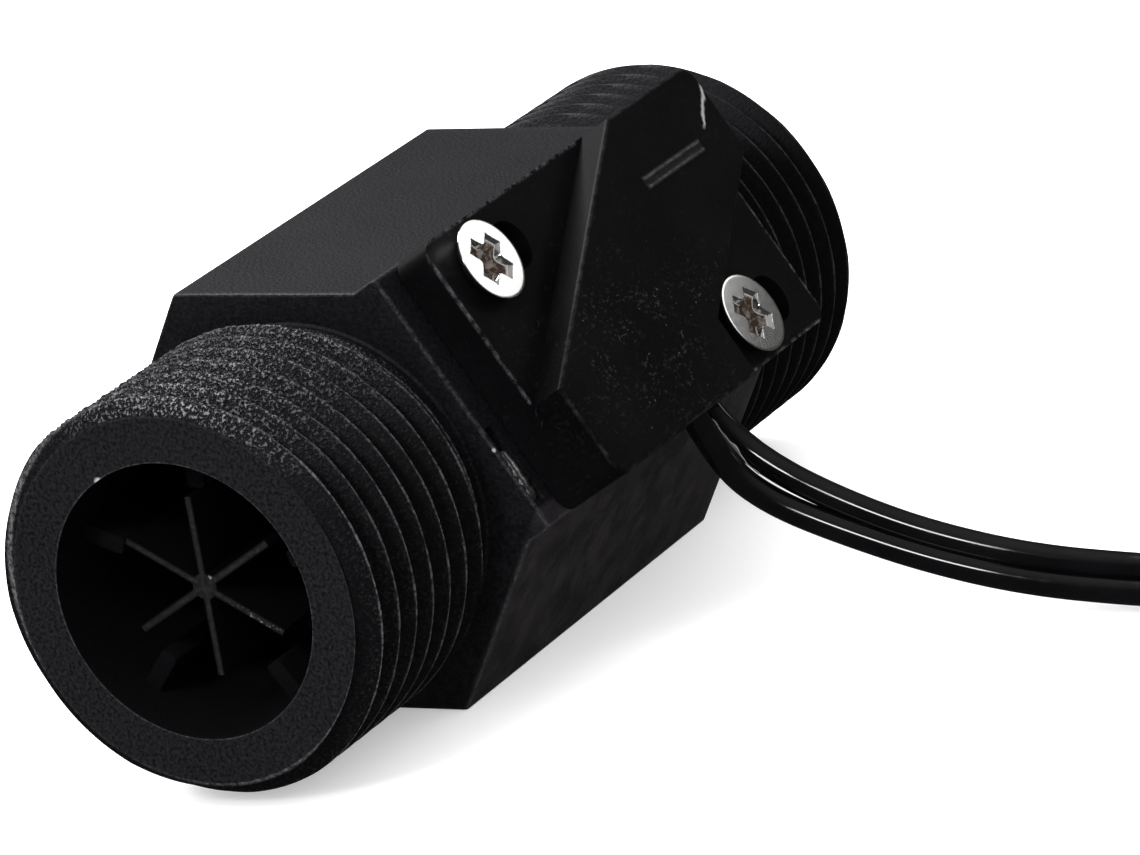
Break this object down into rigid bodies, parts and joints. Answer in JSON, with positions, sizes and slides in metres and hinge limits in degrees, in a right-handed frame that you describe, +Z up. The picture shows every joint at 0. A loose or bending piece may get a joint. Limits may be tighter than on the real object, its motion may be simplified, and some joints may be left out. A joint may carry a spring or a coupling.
{
  "type": "magnetic water flow switch",
  "caption": "Black hexagon pipe body with male threads and a sprung magnet piston in its bore, a screwed cover with a reed switch on one facet, and a bonded twin lead.",
  "frame": {"origin": "middle of the hexagon flat that the body lies on", "axes": "+X along the flow from inlet to outlet, +Z up, the cover's facet on the -Y side"},
  "size_m": [0.0764, 0.1017, 0.0312],
  "materials": {
    "housing_nylon": "glass-filled nylon, sandy grain",
    "cover_plastic": "satin moulding with fine scratches",
    "piston_plastic": "satin moulding",
    "screw_nickel": "bright nickel plate",
    "magnet_ferrite": "ground ferrite",
    "spring_steel": "stainless wire",
    "retainer_plastic": "satin moulding",
    "ring_steel": "stainless, stamped",
    "reed_glass": "clear greenish glass",
    "reed_lead": "tinned nickel iron",
    "splice_brass": "crimped",
    "sleeve_rubber": "shrunk sleeve",
    "core_pvc": "glossy insulation",
    "potting_resin": "cast resin",
    "cord_pvc": "glossy bonded twin lead",
    "tie_nylon": "nylon",
    "tinned_copper": "tinned strands"
  },
  "bodies": {
    "housing": {"housing": "housing_nylon", "cover_screw_near": "screw_nickel", "cover_screw_far": "screw_nickel", "outlet_retainer": "retainer_plastic", "retaining_ring": "ring_steel", "return_spring": "spring_steel"},
    "piston": {"piston": "piston_plastic", "piston_magnet": "magnet_ferrite", "piston_cap": "piston_plastic"},
    "cover": {"cover": "cover_plastic", "reed_glass": "reed_glass", "reed_lead_near": "reed_lead", "reed_lead_far": "reed_lead", "splice_near": "splice_brass", "splice_far": "splice_brass", "sleeve_near": "sleeve_rubber", "sleeve_far": "sleeve_rubber", "core_near": "core_pvc", "core_far": "core_pvc", "potting": "potting_resin", "cord": "cord_pvc", "cord_coil": "cord_pvc", "cord_end": "cord_pvc", "coil_tie": "tie_nylon", "tinned_end_1": "tinned_copper", "tinned_end_2": "tinned_copper"}
  },
  "joints": [
    {"name": "piston_slide", "type": "slide", "parent": "housing", "child": "piston", "axis": [1, 0, 0], "range_m": [0, 0.008], "stiffness_N_per_m": 30, "springref_m": -0.006, "deforming": ["return_spring"]},
    {"name": "cover_adjust", "type": "slide", "parent": "housing", "child": "cover", "axis": [1, 0, 0], "range_m": [-0.004, 0]}
  ]
}
